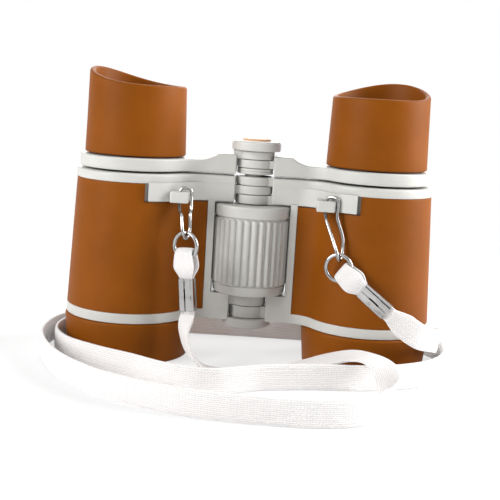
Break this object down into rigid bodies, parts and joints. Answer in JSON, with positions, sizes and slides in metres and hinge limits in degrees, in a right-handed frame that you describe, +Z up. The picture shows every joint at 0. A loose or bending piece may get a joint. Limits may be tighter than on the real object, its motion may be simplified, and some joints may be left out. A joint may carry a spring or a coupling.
{
  "type": "toy binoculars",
  "caption": "Folding toy binoculars with a ribbed focusing wheel, sliding eyepieces, winged eyecups and a braided neck strap on wire hooks.",
  "frame": {"origin": "on the floor under the centre hinge, the pair standing on its objective ends", "axes": "+Z up along the barrels to the eyepieces, +X from the left barrel to the right one, -Y towards the strap lugs"},
  "size_m": [0.1234, 0.096, 0.086],
  "materials": {
    "brown_grip": "soft matt moulded brown plastic",
    "grey_plastic": "satin moulded warm grey plastic",
    "black_plastic": "matt black plastic",
    "lens_glass": "clear polished lens",
    "plated_wire": "bright nickel plate",
    "steel_pin": "turned steel",
    "white_braid": "flat white polyester braid",
    "orange_plastic": "satin light brown plastic"
  },
  "bodies": {
    "left_half": {"left_barrel": "grey_plastic", "left_cover": "brown_grip", "left_sleeve": "brown_grip", "left_objective": "lens_glass", "left_lens_ring": "black_plastic", "hinge_pin": "steel_pin", "hinge_plug": "grey_plastic", "left_hook": "plated_wire", "left_ring": "plated_wire", "left_strap_loop": "white_braid", "left_crimp": "plated_wire", "neck_strap": "white_braid"},
    "right_half": {"right_barrel": "grey_plastic", "right_cover": "brown_grip", "right_sleeve": "brown_grip", "right_objective": "lens_glass", "right_lens_ring": "black_plastic", "right_hook": "plated_wire", "right_ring": "plated_wire", "right_strap_loop": "white_braid", "right_crimp": "plated_wire"},
    "wheel": {"focus_wheel": "grey_plastic"},
    "left_eyepiece": {"left_arm": "grey_plastic", "left_eye_tube": "black_plastic", "left_ocular": "lens_glass", "left_ocular_ring": "black_plastic", "focus_spindle": "grey_plastic", "spindle_cap": "grey_plastic", "cap_disc": "orange_plastic"},
    "right_eyepiece": {"right_arm": "grey_plastic", "right_eye_tube": "black_plastic", "right_ocular": "lens_glass", "right_ocular_ring": "black_plastic"},
    "left_cup": {"left_eyecup": "brown_grip"},
    "right_cup": {"right_eyecup": "brown_grip"}
  },
  "joints": [
    {"name": "fold", "type": "hinge", "parent": "left_half", "child": "right_half", "pos_m": [0, 0, 0.03], "axis": [0, 0, 1], "range_deg": [0, 78], "deforming": ["neck_strap"]},
    {"name": "focus_turn", "type": "hinge", "parent": "left_half", "child": "wheel", "pos_m": [0, 0, 0.034], "axis": [0, 0, 1], "range_deg": [0, 450]},
    {"name": "left_focus_slide", "type": "slide", "parent": "left_half", "child": "left_eyepiece", "axis": [0, 0, 1], "range_m": [0, 0.005]},
    {"name": "right_focus_slide", "type": "slide", "parent": "right_half", "child": "right_eyepiece", "axis": [0, 0, 1], "range_m": [0, 0.005]},
    {"name": "left_cup_turn", "type": "hinge", "parent": "left_eyepiece", "child": "left_cup", "pos_m": [-0.0362, 0, 0.07], "axis": [0, 0, 1], "continuous": true},
    {"name": "right_cup_turn", "type": "hinge", "parent": "right_eyepiece", "child": "right_cup", "pos_m": [0.0362, 0, 0.07], "axis": [0, 0, 1], "continuous": true}
  ],
  "couplings": [
    {"joint": "left_focus_slide", "follows": "focus_turn", "m_per_rad": 0.00063661},
    {"joint": "right_focus_slide", "follows": "focus_turn", "m_per_rad": 0.00063661}
  ]
}
